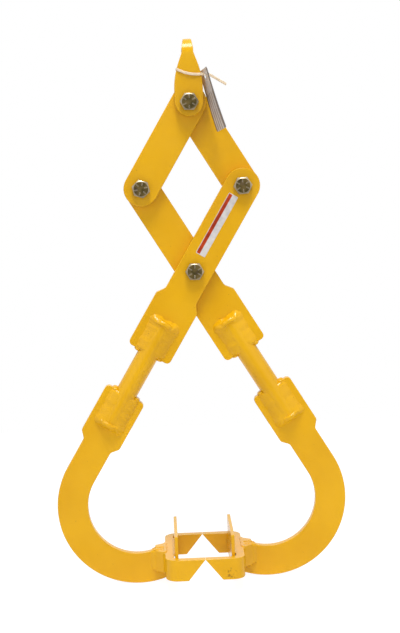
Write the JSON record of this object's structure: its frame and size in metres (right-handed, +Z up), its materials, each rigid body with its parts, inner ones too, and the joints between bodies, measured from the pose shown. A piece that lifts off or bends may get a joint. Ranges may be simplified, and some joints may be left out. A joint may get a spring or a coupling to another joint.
{
  "type": "lifting tongs",
  "caption": "Self-closing scissor lifting tongs: a bail carries crossed plate arms whose C-shaped hooks end in U-shaped jaws that close on a load as it is lifted.",
  "frame": {"origin": "inside of the bail's crown, where a crane hook carries the tongs", "axes": "+Z up, +X across the jaw opening to the right as pictured, +Y through the plates to the rear"},
  "size_m": [0.4304, 0.1524, 0.7993],
  "materials": {
    "painted_steel": "gloss safety yellow paint",
    "fasteners": "dull yellow zinc",
    "decal": "white film with one plain colour band",
    "tag": "plain coated card",
    "tie": "natural nylon"
  },
  "bodies": {
    "top_pivot": {"top_bolt": "fasteners", "top_nut": "fasteners"},
    "bail": {"bail": "painted_steel", "cable_tie": "tie", "hang_tag": "tag"},
    "left_link": {"left_link": "painted_steel", "left_bolt": "fasteners", "left_nut": "fasteners"},
    "right_link": {"right_link": "painted_steel"},
    "front_arm": {"front_arm_plate": "painted_steel", "front_splice_bar": "painted_steel", "front_arm_welds": "painted_steel", "left_hook": "painted_steel", "left_jaw": "painted_steel", "left_stop_plate": "painted_steel", "left_jaw_gussets": "painted_steel", "left_jaw_welds": "painted_steel", "right_bolt": "fasteners", "right_nut": "fasteners", "centre_bolt": "fasteners", "centre_nut": "fasteners", "decal": "decal"},
    "rear_arm": {"rear_arm_plate": "painted_steel", "rear_splice_bar": "painted_steel", "rear_arm_welds": "painted_steel", "right_hook": "painted_steel", "right_jaw": "painted_steel", "right_stop_plate": "painted_steel", "right_jaw_gussets": "painted_steel", "right_jaw_welds": "painted_steel"}
  },
  "joints": [
    {"name": "bail_swing", "type": "hinge", "parent": "top_pivot", "child": "bail", "pos_m": [0, 0, -0.081], "axis": [0, 1, 0], "range_deg": [-45, 45]},
    {"name": "left_link_pivot", "type": "hinge", "parent": "top_pivot", "child": "left_link", "pos_m": [0, 0, -0.081], "axis": [0, 1, 0], "range_deg": [0, 40]},
    {"name": "right_link_pivot", "type": "hinge", "parent": "top_pivot", "child": "right_link", "pos_m": [0, 0, -0.081], "axis": [0, 1, 0], "range_deg": [-40, 0]},
    {"name": "tong_opening", "type": "hinge", "parent": "right_link", "child": "front_arm", "pos_m": [0.07386, 0, -0.20345], "axis": [0, 1, 0], "range_deg": [0, 80]},
    {"name": "rear_arm_pivot", "type": "hinge", "parent": "left_link", "child": "rear_arm", "pos_m": [-0.07386, 0, -0.20345], "axis": [0, 1, 0], "range_deg": [-80, 0]}
  ],
  "couplings": [
    {"joint": "left_link_pivot", "follows": "tong_opening", "ratio": 0.5},
    {"joint": "right_link_pivot", "follows": "tong_opening", "ratio": -0.5},
    {"joint": "rear_arm_pivot", "follows": "tong_opening", "ratio": -1}
  ]
}
